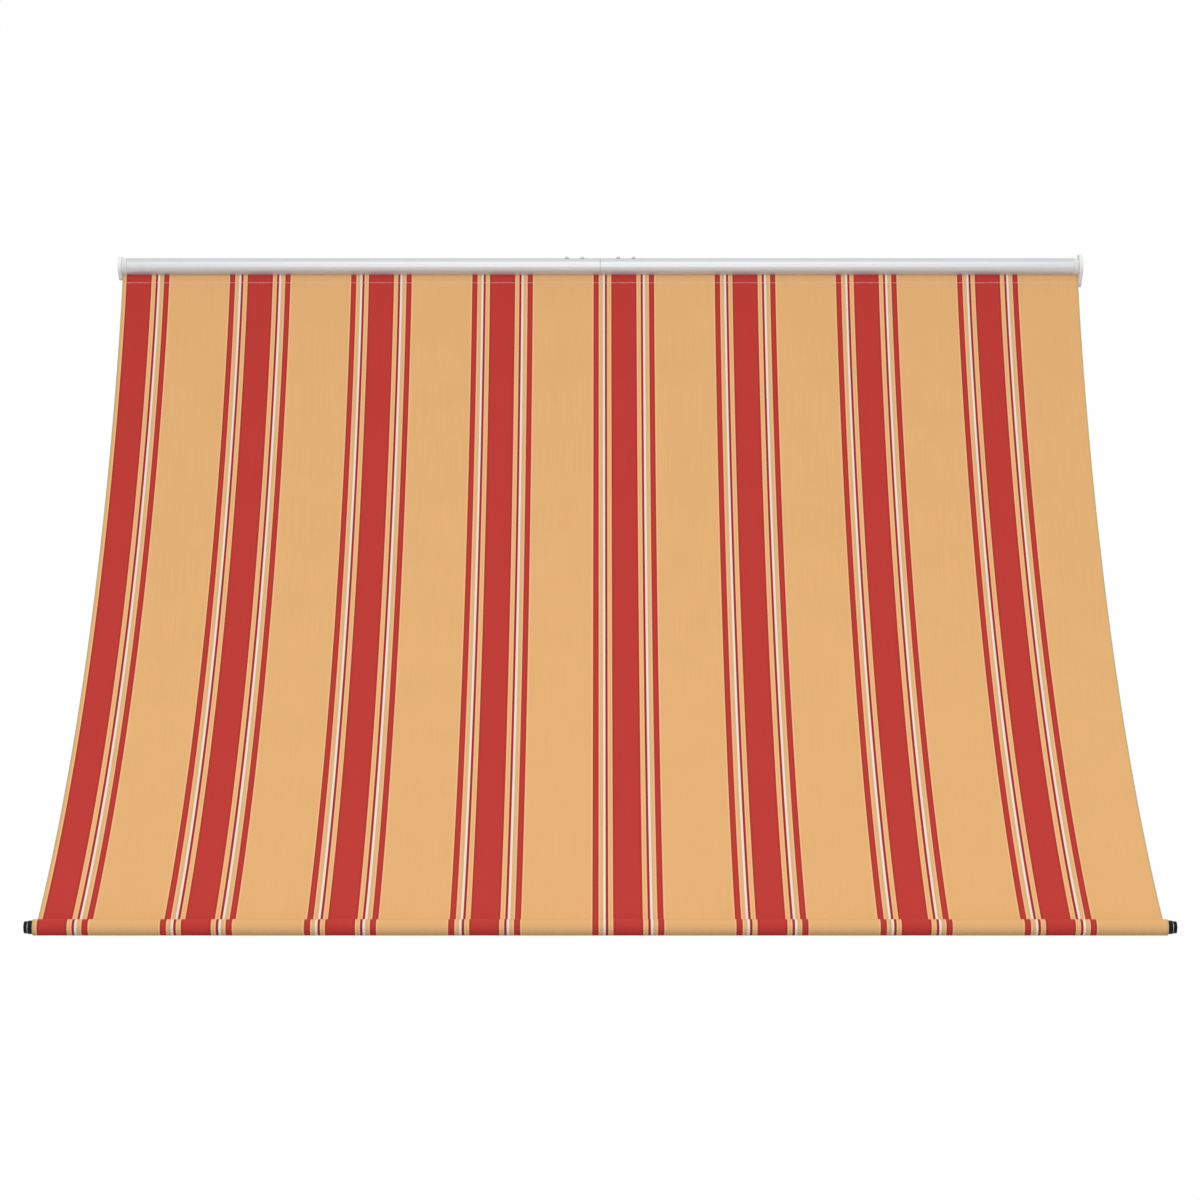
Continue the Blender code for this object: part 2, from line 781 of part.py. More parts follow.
def build_bush(side, name):
    bore = PIN_RADIUS + RUNNING_GAP
    profile = [
        (bore, BUSH_FLANGE),
        (BUSH_FLANGE_RADIUS, BUSH_FLANGE),
        (BUSH_FLANGE_RADIUS, 0),
        (bore + BUSH_WALL, 0),
        (bore + BUSH_WALL, -PLUG_COLLAR - PLUG_SPIGOT),
        (bore, -PLUG_COLLAR - PLUG_SPIGOT),
    ]
    seat = plug_face + PLUG_COLLAR + TOUCH_GAP
    bush = turned(profile, roller_axis, side * seat, side, ROUND_STEPS)
    return finish(bush, f"bearing_bush_{name}", "sintered_iron")


def ring_place():
    """Height of the retaining ring's inner side, below the hub's inner face."""
    bush_end = BUSH_FLANGE + TOUCH_GAP + PLUG_COLLAR + PLUG_SPIGOT
    return -bush_end - 2 * TOUCH_GAP - RING_THICKNESS


def build_pin(side, name):
    """Held in the hub's bore, turned down near its inner end for the retaining ring."""
    ring = ring_place()
    waist = PIN_RADIUS - RING_GROOVE_DEPTH
    top = HUB_BORE_DEPTH - TOUCH_GAP
    tail = ring - PIN_TAIL
    profile = [
        (0, top),
        (PIN_RADIUS - PIN_CHAMFER, top),
        (PIN_RADIUS, top - PIN_CHAMFER),
        (PIN_RADIUS, ring + RING_THICKNESS + TOUCH_GAP),
        (waist, ring + RING_THICKNESS + TOUCH_GAP),
        (waist, ring - TOUCH_GAP),
        (PIN_RADIUS, ring - TOUCH_GAP),
        (PIN_RADIUS, tail + PIN_CHAMFER),
        (PIN_RADIUS - PIN_CHAMFER, tail),
        (0, tail),
    ]
    pin = turned(
        profile, roller_axis, side * hub_face, side, ROUND_STEPS, closed=False
    )
    finish(pin, f"axle_pin_{name}", "zinc_steel")


def build_retaining_ring(side, name):
    """A C ring in the pin's groove, open at the bottom."""
    bore = PIN_RADIUS - RING_GROOVE_DEPTH + TOUCH_GAP
    distance, groove = tube_groove()
    room = distance - groove - TUBE_WALL - PIN_RADIUS
    radius = PIN_RADIUS + RING_SHARE * room
    profile = [
        (bore, RING_THICKNESS),
        (radius, RING_THICKNESS),
        (radius, 0),
        (bore, 0),
    ]
    x = hub_face + ring_place()
    ring = turned(profile, roller_axis, side * x, side, ROUND_STEPS)
    y, z = roller_axis
    half = RING_OPENING / 2
    low, high = sorted((side * (x - CUT_PAST), side * (x + CUT_PAST)))
    opening = box((low, y - half, z - 2 * radius), (high, y + half, z))
    combine(ring, opening, "DIFFERENCE")
    finish(ring, f"retaining_ring_{name}", "zinc_steel")


def build_hub(side, name):
    """Stationary end piece, with flats at front and back that keep it from turning."""
    bore = PIN_RADIUS + TOUCH_GAP
    profile = [
        (0, HUB_LENGTH),
        (HUB_RADIUS - HUB_CHAMFER, HUB_LENGTH),
        (HUB_RADIUS, HUB_LENGTH - HUB_CHAMFER),
        (HUB_RADIUS, 0),
        (bore, 0),
        (bore, HUB_BORE_DEPTH),
        (0, HUB_BORE_DEPTH),
    ]
    hub = turned(
        profile, roller_axis, side * hub_face, side, ROUND_STEPS, closed=False
    )
    y, z = roller_axis
    start = hub_face + HUB_LENGTH - HUB_FLAT_LENGTH
    low, high = sorted((side * start, side * (start + HUB_FLAT_LENGTH + CUT_PAST)))
    reach = 2 * HUB_RADIUS
    for near, far in ((y + HUB_FLAT, y + reach), (y - reach, y - HUB_FLAT)):
        flat = box((low, near, z - reach), (high, far, z + reach))
        combine(hub, flat, "DIFFERENCE")
    finish(hub, f"bearing_hub_{name}", "black_plastic")


# The awning


def hang_on_axle(pieces):
    """Parents what turns with the roller to an empty on the roller's axis."""
    spin = bpy.data.objects.new("roller_spin", None)
    spin.location = (0, *roller_axis)
    awning.objects.link(spin)
    bpy.context.view_layer.update()
    for piece in pieces:
        piece.parent = spin
        piece.matrix_parent_inverse = spin.matrix_world.inverted()


clear_scene()
awning = new_collection("fabric_awning")
helpers = new_collection("helpers")

build_rail()
build_joiner()
build_joint_screws()
build_cap(-1, "end_cap_left", LEFT_PLATE)
build_cap(1, "end_cap_right", RIGHT_PLATE)
build_top_welt()
build_cloth_span()
turning = [build_tube(), build_turns(), build_bottom_welt()]
for end_side, end_name in ((-1, "left"), (1, "right")):
    build_cap_screws(end_side, end_name)
    turning += [build_plug(end_side, end_name), build_bush(end_side, end_name)]
    build_pin(end_side, end_name)
    build_retaining_ring(end_side, end_name)
    build_hub(end_side, end_name)
hang_on_axle(turning)
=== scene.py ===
import math
import bmesh
import bpy
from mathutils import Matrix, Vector


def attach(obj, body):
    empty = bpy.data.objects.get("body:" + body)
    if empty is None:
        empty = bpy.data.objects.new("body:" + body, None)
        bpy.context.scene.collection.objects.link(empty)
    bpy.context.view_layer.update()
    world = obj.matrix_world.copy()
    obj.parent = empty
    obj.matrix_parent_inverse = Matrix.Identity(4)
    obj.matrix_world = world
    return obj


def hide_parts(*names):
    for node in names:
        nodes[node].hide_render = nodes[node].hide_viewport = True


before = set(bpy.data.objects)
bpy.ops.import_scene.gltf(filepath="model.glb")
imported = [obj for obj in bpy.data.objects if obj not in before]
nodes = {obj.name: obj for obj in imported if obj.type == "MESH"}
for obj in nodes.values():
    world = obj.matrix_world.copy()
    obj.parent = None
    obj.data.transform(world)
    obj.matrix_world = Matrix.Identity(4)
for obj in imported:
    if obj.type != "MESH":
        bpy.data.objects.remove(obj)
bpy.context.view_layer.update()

print("frame loaded:", len(nodes), "nodes")


# helpers for meshes
def deselectAll():
    if bpy.context.object and bpy.context.object.mode != "OBJECT":
        bpy.ops.object.mode_set(mode="OBJECT")
    bpy.ops.object.select_all(action="DESELECT")


def pick(piece):
    deselectAll()
    piece.select_set(True)
    bpy.context.view_layer.objects.active = piece


def settle(piece):  # place, turn and scale go into the mesh
    pick(piece)
    bpy.ops.object.transform_apply(location=True, rotation=True, scale=True)


def applyModifier(piece, kind, **settings):
    pick(piece)
    modifier = piece.modifiers.new(kind.lower(), kind)
    for name, value in settings.items():
        setattr(modifier, name, value)
    bpy.ops.object.modifier_apply(modifier=modifier.name)


def paint(piece, finish):
    piece.data.materials.clear()
    piece.data.materials.append(finish)


def repaint(names, finish):
    for name in names:
        for holder in nodes[name].material_slots:
            holder.material = finish


def smooth(piece, angle=40):
    pick(piece)
    bpy.ops.object.shade_smooth_by_angle(angle=math.radians(angle))


# helpers for materials
def colour(red, green, blue):  # screen numbers, 0 to 255, as linear light
    linear = [
        v / 12.92 if v <= 0.04045 else ((v + 0.055) / 1.055) ** 2.4
        for v in (red / 255, green / 255, blue / 255)
    ]
    return (*linear, 1)


class Feed:  # one output socket, so that sums on it read as plain arithmetic
    def __init__(self, finish, socket):
        self.finish = finish
        self.socket = socket

    def math(self, operation, first, second=None):
        return self.finish.node(
            "ShaderNodeMath", {"operation": operation}, {0: first, 1: second}
        )

    def __add__(self, other):
        return self.math("ADD", self, other)

    __radd__ = __add__

    def __sub__(self, other):
        return self.math("SUBTRACT", self, other)

    def __rsub__(self, other):
        return self.math("SUBTRACT", other, self)

    def __mul__(self, other):
        return self.math("MULTIPLY", self, other)

    __rmul__ = __mul__

    def __truediv__(self, other):
        return self.math("DIVIDE", self, other)

    def __rtruediv__(self, other):
        return self.math("DIVIDE", other, self)

    def __abs__(self):
        return self.math("ABSOLUTE", self)

    def fraction(self):
        return self.math("FRACT", self)

    def sine(self):
        return self.math("SINE", self)

    def over(self, low, high):  # 0 below low, 1 above high, soft between
        return self.finish.node(
            "ShaderNodeMapRange",
            {"interpolation_type": "SMOOTHSTEP"},
            {0: self, 1: low, 2: high},
        )


class Finish:
    def __init__(self, name, **fixed):
        self.material = bpy.data.materials.new(name)
        self.material.use_nodes = True
        self.tree = self.material.node_tree
        self.shader = self.tree.nodes["Principled BSDF"]
        for socket, value in fixed.items():
            self.set(**{socket: value})

    def set(self, **values):  # base_color fills the socket Base Color
        for name, value in values.items():
            words = name.replace("_", " ").title().replace("Ior", "IOR")
            self.put(self.shader.inputs[words], value)

    def put(self, socket, value):
        if isinstance(value, Feed):
            self.tree.links.new(value.socket, socket)
        elif value is not None:
            socket.default_value = value

    def node(self, kind, settings=None, sockets=None, output=0):
        made = self.tree.nodes.new(kind)
        for name, value in (settings or {}).items():
            if name == "stops":
                stops = made.color_ramp.elements
                stops.remove(stops[1])
                stops[0].position, stops[0].color = value[0]
                for place, tint in value[1:]:
                    stops.new(place).color = tint
            else:
                setattr(made, name, value)
        for name, value in (sockets or {}).items():
            self.put(made.inputs[name], value)
        return Feed(self, made.outputs[output])

    def place(self):
        return self.node("ShaderNodeTexCoord", output="Object")

    def flat(self):  # the cloth's own width and length, in metres
        return self.node("ShaderNodeUVMap", {"uv_map": "flat"})

    def part(self, vector, axis):
        return self.node("ShaderNodeSeparateXYZ", None, {0: vector}, output=axis)

    def stretch(self, vector, scale):
        return self.node("ShaderNodeMapping", None, {"Vector": vector, "Scale": scale})

    def noise(self, vector, scale, detail=2.0, roughness=0.5):
        return self.node(
            "ShaderNodeTexNoise",
            None,
            {
                "Vector": vector,
                "Scale": scale,
                "Detail": detail,
                "Roughness": roughness,
            },
        )

    def mix(self, share, first, second):  # colours
        return self.node(
            "ShaderNodeMix",
            {"data_type": "RGBA"},
            {0: share, 6: first, 7: second},
            output=2,
        )

    def bump(self, height, strength, distance):
        return self.node(
            "ShaderNodeBump",
            None,
            {"Height": height, "Strength": strength, "Distance": distance},
        )


# camera, well in front and a little above, looking down on the cloth
view = {"place": (-0.0008, -8.8309, 1.2838), "tilt": 75, "lens": 85, "sensor": 36}
cameraData = bpy.data.cameras.new("camera")
cameraData.lens = view["lens"]
cameraData.sensor_width = view["sensor"]
cameraData.clip_end = 100
camera = bpy.data.objects.new("camera", cameraData)
camera.location = view["place"]
camera.rotation_euler = (math.radians(view["tilt"]), 0, 0)
bpy.context.scene.collection.objects.link(camera)
bpy.context.scene.camera = camera

# cloth: one sheet from the rail's groove to the roll
cloth = {
    "width": 2.978,
    "thickness": 0.0005,
    "touchGap": 0.0003,
    "hemDepth": 0.031,
    "weltRadius": 0.00275,
    "railRadius": 0.027,
    "railWall": 0.002,
    "railAxis": (-0.022, 0.0),  # y and z
    "rollerAxis": (-1.867, -1.472),
    "dipAtRail": 23.35,  # degrees from the straight line between the axes
    "dipAtRoller": 19.65,
    "leadAtRail": 0.09,  # how far it keeps its first way, as a share of that line
    "leadAtRoller": 0.484,
    "rollRadius": 0.02155,
    "lengthSteps": 110,
    "widthSteps": 96,
    "hemSteps": 4,  # to one of the span's
    "loopSteps": 32,  # round the welt rod
    "searchStep": 0.0005,  # share of the curve
}
lineAngle = math.atan2(
    cloth["railAxis"][0] - cloth["rollerAxis"][0], -cloth["rollerAxis"][1]
)
topAngle = lineAngle - math.radians(cloth["dipAtRail"])
endAngle = lineAngle + math.radians(cloth["dipAtRoller"])
layerPitch = cloth["thickness"] + cloth["touchGap"]


def along(angle):  # down and outwards, this far from plumb, as y and z
    return (-math.sin(angle), -math.cos(angle))


def upperSide(angle):
    return (-math.cos(angle), math.sin(angle))


def stepFrom(point, direction, distance):
    return (point[0] + direction[0] * distance, point[1] + direction[1] * distance)


spanStart = stepFrom(cloth["railAxis"], along(topAngle), cloth["railRadius"])
spanStart = stepFrom(spanStart, upperSide(topAngle), layerPitch / 2)
spanEnd = stepFrom(
    cloth["rollerAxis"],
    upperSide(endAngle),
    -(cloth["rollRadius"] + cloth["touchGap"] + cloth["thickness"] / 2),
)
lineLength = math.dist(cloth["railAxis"], cloth["rollerAxis"])
spanCorners = [
    spanStart,
    stepFrom(spanStart, along(topAngle), cloth["leadAtRail"] * lineLength),
    stepFrom(spanEnd, along(endAngle), -cloth["leadAtRoller"] * lineLength),
    spanEnd,
]
spanSteps = [
    (far[0] - near[0], far[1] - near[1])
    for near, far in zip(spanCorners, spanCorners[1:])
]


def weighed(weights, points):
    return [sum(w * point[i] for w, point in zip(weights, points)) for i in (0, 1)]


def spanPoint(share):  # the slack curve, and its angle from plumb
    rest = 1 - share
    here = weighed(
        (rest**3, 3 * share * rest**2, 3 * share**2 * rest, share**3), spanCorners
    )
    slope = weighed((rest**2, 2 * share * rest, share**2), spanSteps)
    return here, math.atan2(-slope[0], -slope[1])


def shareAt(distance):  # where on the curve, this far down from the rail
    share, gone, here = 0.0, 0.0, spanStart
    while gone < distance:
        share += cloth["searchStep"]
        there = spanPoint(share)[0]
        gone += math.dist(here, there)
        here = there
    return share


def clothPath():  # under layer of the hem, loop round the welt rod, then the span
    under = []
    share = 0.0
    here, angle = spanPoint(share)
    while math.dist(here, spanStart) < cloth["hemDepth"]:
        under.append(stepFrom(here, upperSide(angle), -layerPitch))
        share += 1 / (cloth["hemSteps"] * cloth["lengthSteps"])
        here, angle = spanPoint(share)
    loop = cloth["weltRadius"] + cloth["touchGap"] + cloth["thickness"] / 2
    groove = cloth["railRadius"] - cloth["railWall"]
    reach = groove - loop - cloth["thickness"] / 2 - cloth["touchGap"]
    centre = stepFrom(cloth["railAxis"], along(topAngle), reach)
    neck = math.asin(layerPitch / 2 / loop)
    outwards = -math.pi / 2 - topAngle
    turn = 2 * math.pi - 2 * neck
    loopSteps = cloth["loopSteps"]
    around = [
        (
            centre[0] + loop * math.cos(outwards + neck + turn * i / loopSteps),
            centre[1] + loop * math.sin(outwards + neck + turn * i / loopSteps),
        )
        for i in range(loopSteps + 1)
    ]
    count = cloth["lengthSteps"]
    return under[::-1] + around + [spanPoint(i / count)[0] for i in range(count + 1)]


def sheetAlong(name, path, width, columns, thickness, measureFrom=0.0):
    # a sheet drawn out along x, with its own flat measure in metres
    mesh = bpy.data.meshes.new(name)
    work = bmesh.new()
    flat = work.loops.layers.uv.new("flat")
    lengths = [measureFrom]
    for a, b in zip(path, path[1:]):
        lengths.append(lengths[-1] + math.dist(a, b))
    places = [width * (i / columns - 0.5) for i in range(columns + 1)]
    rows = [[work.verts.new((x, y, z)) for x in places] for y, z in path]
    for j in range(len(path) - 1):
        for i in range(columns):
            corners = [
                (rows[j][i], i, j),
                (rows[j + 1][i], i, j + 1),
                (rows[j + 1][i + 1], i + 1, j + 1),
                (rows[j][i + 1], i + 1, j),
            ]
            face = work.faces.new([c[0] for c in corners])
            for loop, (_, column, row) in zip(face.loops, corners):
                loop[flat].uv = (places[column] + width / 2, lengths[row])
    work.to_mesh(mesh)
    work.free()
    sheet = bpy.data.objects.new(name, mesh)
    bpy.context.scene.collection.objects.link(sheet)
    applyModifier(
        sheet, "SOLIDIFY", thickness=thickness, offset=0, use_even_offset=True
    )
    smooth(sheet)  # the cut edges stay sharp, so that the faces beside them stay plain
    return sheet


spanPath = clothPath()
awningCloth = sheetAlong(
    "awningCloth", spanPath, cloth["width"], cloth["widthSteps"], cloth["thickness"]
)

# the spare turns on the roller, one sheet in a spiral from its welt rod outwards
roll = {
    "tubeRadius": 0.019,
    "grooveCentre": 0.0145,  # above the roller's axis
    "weltRadius": 0.002,
    "thickness": 0.00046,
    "wholeTurns": 3,
    "tailDepth": 0.0004,  # how far its cut end stays below the tube's face
    "flatFrom": 5.0,  # its own stretch of the flat measure, clear of the span's
    "turnSteps": 72,
    "loopSteps": 24,
    "widthSteps": 60,
}


def rollPath():
    centre = stepFrom(cloth["rollerAxis"], (0, 1), roll["grooveCentre"])
    half = roll["thickness"] / 2
    loop = roll["weltRadius"] + cloth["touchGap"] + half
    neckHalf = cloth["touchGap"] / 2 + half
    neck = math.asin(neckHalf / loop)
    turn = 2 * math.pi - 2 * neck
    points = []
    inner = roll["tubeRadius"] + cloth["touchGap"] + half
    outer = cloth["rollRadius"] - half
    # short tail beside the neck, then round the rod and out of the slot
    tailTop = cloth["rollerAxis"][1] + roll["tubeRadius"] - roll["tailDepth"]
    points.append((centre[0] + neckHalf, tailTop))
    for i in range(roll["loopSteps"] + 1):
        angle = math.pi / 2 - neck - turn * i / roll["loopSteps"]
        points.append(
            (centre[0] + loop * math.cos(angle), centre[1] + loop * math.sin(angle))
        )
    startAngle = math.pi / 2
    # from the slot on to where the hung cloth comes in
    partTurn = 2 * math.pi - endAngle - startAngle
    endTurn = roll["wholeTurns"] * 2 * math.pi + partTurn
    steps = int(roll["turnSteps"] * endTurn / (2 * math.pi))
    lean = math.asin((neckHalf + half) / inner)
    for i in range(steps + 1):
        angle = startAngle + lean + (endTurn - lean) * i / steps
        radius = inner + (outer - inner) * i / steps
        points.append(
            (
                cloth["rollerAxis"][0] + radius * math.cos(angle),
                cloth["rollerAxis"][1] + radius * math.sin(angle),
            )
        )
    return points


spiral = rollPath()
rollCloth = sheetAlong(
    "rollCloth",
    spiral,
    cloth["width"],
    roll["widthSteps"],
    roll["thickness"],
    roll["flatFrom"],
)

# lockstitch along the hem, on both faces
stitching = {
    "rows": (0.0252, 0.0262),  # twin needle, from the rail, along the cloth
    "pitch": 0.0034,
    "stitch": 0.0031,
    "threadWidth": 0.0007,
    "threadHeight": 0.0004,
    "margin": 0.006,  # bare cloth at both ends of a row
    "smoothAngle": 80,
}


def stitchRow(name, below, upper):
    here, angle = spanPoint(shareAt(below))
    lift = cloth["thickness"] / 2 if upper else -(cloth["thickness"] / 2 + layerPitch)
    y, z = stepFrom(here, upperSide(angle), lift)
    count = int((cloth["width"] - 2 * stitching["margin"]) / stitching["pitch"])
    start = -count * stitching["pitch"] / 2 + stitching["pitch"] / 2
    deselectAll()
    bpy.ops.mesh.primitive_uv_sphere_add(
        segments=6, ring_count=4, radius=0.5, location=(0, 0, 0)
    )
    row = bpy.context.object
    row.name = name
    bpy.ops.object.mode_set(mode="EDIT")
    bpy.ops.mesh.select_all(action="SELECT")
    bpy.ops.transform.rotate(
        value=math.pi / 2, orient_axis="Y", center_override=(0, 0, 0)
    )
    bpy.ops.transform.resize(
        value=(
            stitching["stitch"],
            stitching["threadWidth"],
            2 * stitching["threadHeight"],
        )
    )
    bpy.ops.object.mode_set(mode="OBJECT")
    row.rotation_euler = (math.pi / 2 - angle, 0, 0)
    row.location = (start, y, z)
    settle(row)
    applyModifier(
        row,
        "ARRAY",
        count=count,
        use_relative_offset=False,
        use_constant_offset=True,
        constant_offset_displace=(stitching["pitch"], 0, 0),
    )
    smooth(row, stitching["smoothAngle"])
    return row


stitches = []
for i, below in enumerate(stitching["rows"]):
    stitches.append(stitchRow("stitchesAbove" + str(i + 1), below, True))
    stitches.append(stitchRow("stitchesBelow" + str(i + 1), below, False))
print("stitches made,", len(stitches), "rows")

# finishes
stripes = {
    "repeat": 0.37766,  # one wide and one narrow band
    "centre": 0.0734,  # a wide band's middle
    "parts": 121,  # of one repeat, to measure the bands in
    "softness": 0.3,  # parts from one colour to the next
    "red": (196, 60, 54),
    "redEdge": (176, 60, 41),
    "plain": (235, 182, 121),
    "plainEdge": (253, 188, 142),
    "line": (157, 50, 42),
    "pale": (255, 229, 213),
    "shadow": (225, 183, 133),
    "cutEdge": (204, 180, 128),  # duller and darker in a thin strip along both side edges
    "cutEdgeFrom": 0.0065,  # metres in from the side, fading in up to the next value
    "cutEdgeTo": 0.003,
    "bands": [  # from the middle of a wide band outwards, each with its outer border
        ("red", 10.7),
        ("redEdge", 12.6),
        ("plainEdge", 13.85),
        ("plain", 15.55),
        ("plainEdge", 16.8),
        ("line", 18.95),
        ("pale", 20.9),
        ("shadow", 23.65),
        ("plainEdge", 25.0),
        ("redEdge", 26.65),
        ("red", 28.45),
        ("redEdge", 30.25),
        ("plainEdge", 31.55),
        ("plain", 61),
    ],
}


def stripeStops():
    stops, start = [], 0
    for name, border in stripes["bands"]:
        for place in (start, border - stripes["softness"] / 2):
            share = min(2 * place / stripes["parts"], 1)
            stops.append((share, colour(*stripes[name])))
        start = border + stripes["softness"] / 2
    return stops


weave = {
    "warpPitch": 0.0011,
    "weftPitch": 0.0013,
    "streaks": (420, 5, 1),  # per metre: yarns that run the length of the cloth
    "streakTone": 0.10,
    "clouds": (7, 7, 1),
    "cloudTone": 0.06,
    "roughness": 0.86,
    "polish": 0.08,  # how much smoother the yarns' backs are
    "bump": 0.25,
    "depth": 0.0002,
}


def clothFinish():
    finish = Finish(
        "woven stripe cloth",
        specular_ior_level=0.1,
        sheen_weight=0.03,
        sheen_roughness=0.6,
    )
    where = finish.place()
    flat = finish.flat()
    across = finish.part(where, "X")
    turn = (across - stripes["centre"]) / stripes["repeat"] + 0.5
    offCentre = abs(turn.fraction() - 0.5) * 2
    bands = finish.node(
        "ShaderNodeValToRGB", {"stops": stripeStops()}, {"Fac": offCentre}
    )
    half = cloth["width"] / 2
    offMiddle = abs(finish.part(flat, "X") - half)
    # a thin duller, darker strip along both side edges
    onEdge = offMiddle.over(
        half - stripes["cutEdgeFrom"], half - stripes["cutEdgeTo"]
    )
    bands = finish.mix(onEdge, bands, colour(*stripes["cutEdge"]))
    # yarns differ a little in strength: fine streaks along the warp, and faint clouds
    streaks = finish.noise(finish.stretch(flat, weave["streaks"]), 1, 2)
    clouds = finish.noise(finish.stretch(flat, weave["clouds"]), 1, 3)
    tone = (
        (streaks - 0.5) * weave["streakTone"] + (clouds - 0.5) * weave["cloudTone"] + 1
    )
    toned = finish.node(
        "ShaderNodeVectorMath", {"operation": "SCALE"}, {0: bands, "Scale": tone}
    )
    warp = (finish.part(flat, "X") * (2 * math.pi / weave["warpPitch"])).sine()
    weft = (finish.part(flat, "Y") * (2 * math.pi / weave["weftPitch"])).sine()
    raised = warp * weft * 0.5 + 0.5
    finish.set(
        base_color=toned,
        roughness=weave["roughness"] - raised * weave["polish"],
        normal=finish.bump(raised, weave["bump"], weave["depth"]),
    )
    return finish.material


thread = {
    "tone": (248, 230, 214),
    "twist": 0.0007,  # one turn of its strands
    "roughness": 0.6,
    "bump": 0.4,
    "depth": 0.0001,
}


def threadFinish():
    finish = Finish(
        "hem thread", base_color=colour(*thread["tone"]), roughness=thread["roughness"]
    )
    lengthwise = finish.part(finish.place(), "X")
    strands = (lengthwise * (2 * math.pi / thread["twist"])).sine()
    finish.set(normal=finish.bump(strands, thread["bump"], thread["depth"]))
    return finish.material


railPaint = {
    "low": (208, 210, 210),
    "high": (215, 217, 217),
    "seam": (172, 174, 172),  # bare cut ends, and painted shade of the joint where the halves meet
    "seamFrom": 0.0004,
    "seamTo": 0.0014,
    "grain": 900,
    "drawn": (3, 700, 700),  # fine lines along the rail, from its drawing
    "drawnBump": 0.5,  # beside the grain's
    "roughness": 0.3,
    "roughMore": 0.1,
    "bump": 0.08,
    "depth": 0.0002,
}


def railFinish():
    finish = Finish(
        "silver white paint", metallic=0.35, coat_weight=0.05, coat_roughness=0.3
    )
    where = finish.place()
    grain = finish.noise(where, railPaint["grain"], 2)
    drawn = finish.noise(finish.stretch(where, railPaint["drawn"]), 1, 2)
    paint = finish.mix(drawn, colour(*railPaint["low"]), colour(*railPaint["high"]))
    # painted shade of the joint, darker towards where the halves meet
    offSeamShade = abs(finish.part(where, "X")).over(
        railPaint["seamFrom"], railPaint["seamTo"]
    )
    finish.set(
        base_color=finish.mix(offSeamShade, colour(*railPaint["seam"]), paint),
        roughness=railPaint["roughness"] + grain * railPaint["roughMore"],
        normal=finish.bump(
            grain + drawn * railPaint["drawnBump"],
            railPaint["bump"],
            railPaint["depth"],
        ),
    )
    return finish.material


moulding = {  # the faint surface that all plastic pieces share
    "clouds": 40,
    "grain": 1400,
    "roughLess": 0.04,
    "roughMore": 0.08,
    "bump": 0.08,
}
machining = {  # and the one that all bare metal pieces share
    "clouds": 260,
    "scratches": (300, 4000, 4000),  # short, and round the pieces' axis
    "roughLess": 0.06,
    "roughMore": 0.14,
    "bump": 0.06,
}
surfaceDepth = 0.0001
capTones = {
    "plateAt": 1.49,  # from the middle of the rail to the plate
    "blend": 0.0006,
    "collarLength": 0.015,
    "crease": 0.001,
    "creaseShift": 0.0005,
    # painted shade: thin dark lines in the corner at the plate and where the collar
    # meets the rail
    "creaseShadeTone": (90, 90, 90),
    "creaseShadeDepth": 0.2,
    "plate": ((246, 246, 243), (250, 250, 248)),
    # painted shade: the collars a little greyer than the plates, in the tone of the
    # rail
    "collar": ((230, 231, 229), (236, 237, 235)),
    "roughness": 0.42,
}


def capFinish():  # white plates, collars a little greyer as painted shade in the tone of the rail, and painted shade in the corners
    finish = Finish("white cap plastic", specular_ior_level=0.4)
    where = finish.place()
    grain = finish.noise(where, moulding["grain"], 2)
    clouds = finish.noise(where, moulding["clouds"], 3)
    outwards = abs(finish.part(where, "X"))
    edge = capTones["plateAt"]
    onPlate = outwards.over(edge - capTones["blend"], edge + capTones["blend"])
    plate, collar = (
        finish.mix(clouds, colour(*low), colour(*high))
        for low, high in (capTones["plate"], capTones["collar"])
    )
    # painted shade in the two corners: at the plate, and where the collar meets the
    # rail
    atPlate, atRail = (
        abs(outwards - place).over(0, capTones["crease"])
        for place in (edge - capTones["creaseShift"], edge - capTones["collarLength"])
    )
    depth = capTones["creaseShadeDepth"]
    unshaded = atPlate * atRail * depth + (1 - depth)
    finish.set(
        base_color=finish.mix(
            unshaded,
            colour(*capTones["creaseShadeTone"]),
            finish.mix(onPlate, collar, plate),
        ),
        roughness=capTones["roughness"] + grain * moulding["roughMore"],
        normal=finish.bump(grain, moulding["bump"], surfaceDepth),
    )
    return finish.material


def plasticFinish(name, low, high, rough, gloss=0.5):
    finish = Finish(name, specular_ior_level=gloss)
    where = finish.place()
    clouds = finish.noise(where, moulding["clouds"], 3)
    grain = finish.noise(where, moulding["grain"], 2)
    finish.set(
        base_color=finish.mix(clouds, colour(*low), colour(*high)),
        roughness=rough - moulding["roughLess"] + grain * moulding["roughMore"],
        normal=finish.bump(grain, moulding["bump"], surfaceDepth),
    )
    return finish.material


def metalFinish(name, low, high, rough):
    finish = Finish(name, metallic=1.0)
    where = finish.place()
    clouds = finish.noise(where, machining["clouds"], 4, 0.6)
    scratches = finish.noise(finish.stretch(where, machining["scratches"]), 1, 2)
    finish.set(
        base_color=finish.mix(clouds, colour(*low), colour(*high)),
        roughness=rough - machining["roughLess"] + scratches * machining["roughMore"],
        normal=finish.bump(scratches, machining["bump"], surfaceDepth),
    )
    return finish.material


